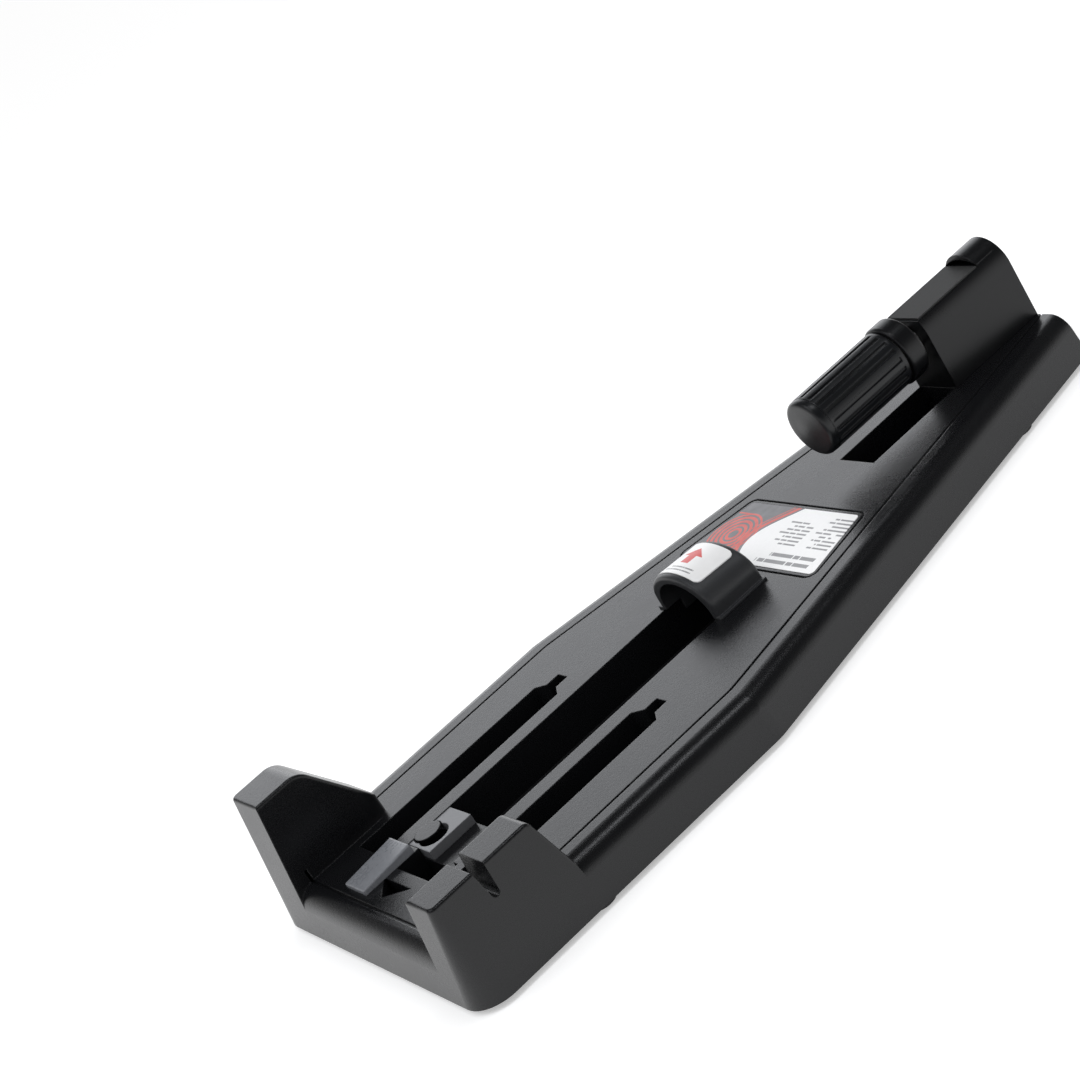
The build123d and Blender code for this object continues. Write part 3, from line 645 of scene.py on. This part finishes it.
def make_stem():
    """Screw with a helical thread, flats and closed ends."""
    bpy.ops.object.select_all(action="DESELECT")
    bpy.ops.mesh.primitive_plane_add(size=PITCH, location=(0, 0, 0))
    stem = bpy.context.object
    stem.name = "stem_thread"
    bpy.ops.object.mode_set(mode="EDIT")
    pick(stem, "VERT", lambda v: v.co.y > 0)
    bpy.ops.mesh.delete(type="VERT")
    bpy.ops.mesh.select_all(action="SELECT")
    bpy.ops.mesh.subdivide(number_cuts=3)
    bpy.ops.mesh.select_all(action="SELECT")
    bpy.ops.transform.translate(value=(STEM_LOW.x - PITCH / 2, PITCH / 2, STEM_RADIUS))
    middle = STEM_LOW.x - PITCH / 2
    for reach, drop in ((0.4, 0.65), (0.2, 0.35)):
        pick(stem, "VERT", lambda v: abs(v.co.x - middle) > reach * PITCH)
        bpy.ops.transform.translate(value=(0, 0, -drop * THREAD_DEPTH))
    bpy.ops.object.mode_set(mode="OBJECT")
    sweep = stem.modifiers.new("helix", "SCREW")
    sweep.axis = "X"
    sweep.screw_offset = PITCH
    sweep.iterations = math.ceil((STEM_HIGH.x - STEM_LOW.x) / PITCH) + 3
    sweep.steps = sweep.render_steps = 48
    bpy.ops.object.modifier_apply(modifier=sweep.name)
    stem.location = (0, 0, AXIS_Z)
    bpy.ops.object.transform_apply(location=True, rotation=True, scale=True)
    bpy.ops.object.mode_set(mode="EDIT")
    bpy.ops.mesh.select_all(action="SELECT")
    bpy.ops.mesh.remove_doubles(threshold=TINY)
    cuts = [((STEM_LOW.x, 0, 0), (-1, 0, 0)), ((STEM_HIGH.x, 0, 0), (1, 0, 0)),
            ((0, -HALF_FLAT, 0), (0, -1, 0)), ((0, HALF_FLAT, 0), (0, 1, 0))]
    for place, outward in cuts:
        bpy.ops.mesh.select_all(action="SELECT")
        bpy.ops.mesh.bisect(plane_co=place, plane_no=outward, use_fill=True, clear_outer=True)
    return finish_piece(stem, stem_finish, "base", "threaded_stem")


make_stem()

# %% [markdown]
# ## Screws of the bottom cover
# Ten pan-head screws hold the cover, heads down. One screw is modelled: a disc with a domed face,
# a shank that is drawn out of the back, and a cross recess cut by a tapered cross. Copies go to
# where the frame has its screws, each turned a little, as screws end up.

# %% Screws of the bottom cover
HEAD_RADIUS = 2.9 * MM
HEAD_HEIGHT = 1.6 * MM
HEAD_ROUND = 0.7 * MM
SHANK_RADIUS = 1.2 * MM
SHANK_LENGTH = 7.6 * MM
POINT_LENGTH = 0.8 * MM
ARM_LENGTH = 1.35 * MM
SCREW_REACH = 8 * MM


def places_of(node, reach):
    """Centres of the separate solids of a node, seen from above."""
    groups = []
    for vertex in nodes[node].data.vertices:
        spot = vertex.co.to_2d()
        home = next((g for g in groups if (g[0] - spot).length < reach), None)
        if home is None:
            groups.append([spot])
        else:
            home.append(spot)
    return [sum(g, Vector((0, 0))) / len(g) for g in groups]


def disc_on_z(name, radius, low, high, sides):
    """Closed disc round the Z axis, left in edit mode."""
    bpy.ops.object.select_all(action="DESELECT")
    bpy.ops.mesh.primitive_cylinder_add(vertices=sides, radius=radius, depth=high - low,
                                        location=(0, 0, (low + high) / 2))
    piece = bpy.context.object
    piece.name = name
    bpy.ops.object.transform_apply(location=True, rotation=True, scale=True)
    bpy.ops.object.mode_set(mode="EDIT")
    return piece


def level_face(face, height, facing, corners):
    """Whether a many-cornered face lies level at a height and looks up or down."""
    level = abs(face.calc_center_median().z - height) < TINY
    return level and facing * face.normal.z > 0.9 and len(face.verts) == corners


def cross_cutter():
    """Tapered cross, left in object mode, that cuts the recess of a screw's head."""
    bpy.ops.object.select_all(action="DESELECT")
    bpy.ops.mesh.primitive_cube_add(size=2 * MM, location=(0, 0, 0))
    cross = bpy.context.object
    bpy.ops.object.mode_set(mode="EDIT")
    bpy.ops.transform.resize(value=(0.35, 0.35, 1.0))
    pick(cross, "FACE", lambda face: abs(face.normal.z) < 0.5)
    bpy.ops.mesh.extrude_faces_move(TRANSFORM_OT_shrink_fatten={"value": ARM_LENGTH})
    pick(cross, "VERT", lambda v: v.co.z > 0)
    bpy.ops.transform.resize(value=(0.62, 0.62, 1.0))
    bpy.ops.object.mode_set(mode="OBJECT")
    return cross


def make_screw():
    """One screw with its head's face at height 0 and its shank upwards."""
    sides = 40
    screw = disc_on_z("cover_screw", HEAD_RADIUS, 0.0, HEAD_HEIGHT, sides)
    pick(screw, "EDGE", lambda edge: all(abs(v.co.z) < TINY for v in edge.verts))
    bpy.ops.mesh.bevel(offset=HEAD_ROUND, segments=4, affect="EDGES")
    pick(screw, "FACE", lambda face: level_face(face, HEAD_HEIGHT, 1, sides))
    bpy.ops.mesh.inset(thickness=HEAD_RADIUS - SHANK_RADIUS)
    for length in (SHANK_LENGTH, POINT_LENGTH):
        bpy.ops.mesh.extrude_region_move(TRANSFORM_OT_translate={"value": (0, 0, length)})
    bpy.ops.transform.resize(value=(0.3, 0.3, 1.0))
    bpy.ops.object.mode_set(mode="OBJECT")
    cross = cross_cutter()
    select_only(screw)
    cut = screw.modifiers.new("recess", "BOOLEAN")
    cut.operation = "DIFFERENCE"
    cut.object = cross
    bpy.ops.object.modifier_apply(modifier=cut.name)
    bpy.data.objects.remove(cross)
    return screw


def copy_to(piece, name, place, turn=0.0):
    """Copy of a piece with its own mesh, turned about Z and moved."""
    copy = piece.copy()
    copy.data = piece.data.copy()
    copy.name = name
    scene.collection.objects.link(copy)
    copy.data.transform(Matrix.Translation(place) @ Matrix.Rotation(turn, 4, "Z"))
    return copy


def make_cover_screws():
    """All the screws of the cover, joined into one piece."""
    one = make_screw()
    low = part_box("cover_screws")[0].z
    copies = [copy_to(one, "cover_screw", (*spot, low), 0.9 * index)
              for index, spot in enumerate(places_of("cover_screws", SCREW_REACH))]
    bpy.data.objects.remove(one)
    select_only(copies[0])
    for copy in copies:
        copy.select_set(True)
    bpy.ops.object.join()
    screws = bpy.context.object
    screws.name = "cover_screw_set"
    print("screws", len(copies))
    return finish_piece(screws, screw_finish, "base", "cover_screws")


make_cover_screws()

# %% [markdown]
# ## Rubber feet
# Four soft discs stand a little below the skirt. Each has a rounded edge, two grip rings cut into
# its rim and a dished middle. Insets make the rings, and each inset that is moved makes a step:
# the table gives how far in and how far up each one goes, in millimetres.

# %% Rubber feet
FOOT_ROUND = 0.7 * MM
RIM_STEPS = ((0.5, 0.0), (0.2, 0.4), (0.4, 0.0), (0.2, -0.4), (0.5, 0.0),
             (0.2, 0.4), (0.4, 0.0), (0.2, -0.4), (0.6, 0.0), (0.5, 0.7))


def make_foot():
    """One foot on the floor at the origin."""
    low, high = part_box("foot_front_near")
    radius, sides = (high.x - low.x) / 2, 64
    foot = disc_on_z("foot", radius, 0.0, high.z, sides)
    pick(foot, "EDGE", lambda edge: all(abs(v.co.z) < TINY for v in edge.verts))
    bpy.ops.mesh.bevel(offset=FOOT_ROUND, segments=4, affect="EDGES")
    pick(foot, "FACE", lambda face: level_face(face, 0.0, -1, sides))
    for step_in, rise in RIM_STEPS:
        bpy.ops.mesh.inset(thickness=step_in * MM)
        bpy.ops.transform.translate(value=(0, 0, rise * MM))
    bpy.ops.object.mode_set(mode="OBJECT")
    return foot


def make_feet():
    """The foot copied to its four places."""
    one = make_foot()
    for name in sorted(n for n in nodes if n.startswith("foot_")):
        low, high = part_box(name)
        place = ((low.x + high.x) / 2, (low.y + high.y) / 2, 0.0)
        foot = copy_to(one, name + "_pad", place)
        finish_piece(foot, foot_finish, "base", name)
    bpy.data.objects.remove(one)


make_feet()

# %% [markdown]
# ## Floor and light
# The photograph is a cut-out on white. Black plastic shows its form by what it mirrors: its
# level faces catch a bright wall behind it and look grey, and its rounded upper edges catch the
# dark ceiling and stay black, with one thin pale line. So a large soft box stands behind the
# winder, a narrow one hangs over it, and a third softens the shadows from the left. The world is
# white for the camera, bright near the horizon and dark overhead for mirror rays, and gentler as
# a light. The floor is lifted to white for the rays that see it and keeps its shadow.

# %% Floor
FLOOR_SIZE = 16.0
FLOOR_LIFT = 0.38
PAPER_WHITE = (0.84, 0.84, 0.84)


def is_seen(graph):
    """1 for a camera, mirror or transmission ray, 0 for a ray that only brings light."""
    camera, mirror, through = (graph.node("LightPath", output=name) for name in
                               ("Is Camera Ray", "Is Glossy Ray", "Is Transmission Ray"))
    return camera | mirror | through


def make_floor():
    """Wide pale floor at the level of the feet."""
    bpy.ops.object.select_all(action="DESELECT")
    bpy.ops.mesh.primitive_grid_add(x_subdivisions=4, y_subdivisions=4, size=FLOOR_SIZE)
    floor = bpy.context.object
    floor.name = "floor"
    finish = Finish("floor_paper")
    lift = FLOOR_LIFT * is_seen(finish)
    finish.set(Base_Color=PAPER_WHITE, Roughness=0.95, Specular_IOR_Level=0.0,
               Emission_Color=(1.0, 1.0, 1.0), Emission_Strength=lift)
    floor.data.materials.append(finish.material)
    print("floor", FLOOR_SIZE, "m")


# %% World and lamps
SKY_STOPS = [(0.08, 1.0), (0.34, 0.16), (0.65, 0.05)]
SKY_LIGHT = 0.70
LAMP_COLOUR = (0.94, 0.96, 1.0)


def make_world():
    """White low down for camera and mirror rays, dark overhead, gentler as a light."""
    world = bpy.data.worlds.new("world")
    scene.world = world
    world.use_nodes = True
    graph = Graph(world.node_tree)
    direction = graph.node("TexCoord", output="Generated")
    height = graph.node("SeparateXYZ", None, {"Vector": direction}, "Z")
    sky = graph.node("ValToRGB", {"stops": SKY_STOPS}, {"Fac": height})
    camera = graph.node("LightPath", output="Is Camera Ray")
    mirror = graph.node("LightPath", output="Is Glossy Ray")
    strength = camera | (mirror * sky) | ((1.0 - mirror) * SKY_LIGHT)
    background = world.node_tree.nodes["Background"]
    background.inputs["Color"].default_value = (1.0, 1.0, 1.0, 1.0)
    graph.tree.links.new(strength.socket, background.inputs["Strength"])


def area_lamp(name, place, target, width, height, power):
    """Soft box that faces its target."""
    lamp = bpy.data.objects.new(name, bpy.data.lights.new(name, "AREA"))
    lamp.data.shape = "RECTANGLE"
    lamp.data.size = width
    lamp.data.size_y = height
    lamp.data.energy = power
    lamp.data.color = LAMP_COLOUR
    lamp.location = place
    aim = Vector(target) - Vector(place)
    lamp.rotation_euler = aim.to_track_quat("-Z", "Y").to_euler()
    scene.collection.objects.link(lamp)
    print(name, power, "W")


make_floor()
make_world()
area_lamp("far_box", (0.58, 1.40, 0.62), (0, 0, 0), 1.7, 0.95, 8.4)
area_lamp("key", (-1.1, 0.2, 1.6), (0, 0, 0), 1.0, 1.0, 6.0)
area_lamp("strip", (0.30, -0.25, 1.46), (0, -0.25, 0), 0.2, 0.9, 3.0)
scene.view_settings.view_transform = "Standard"
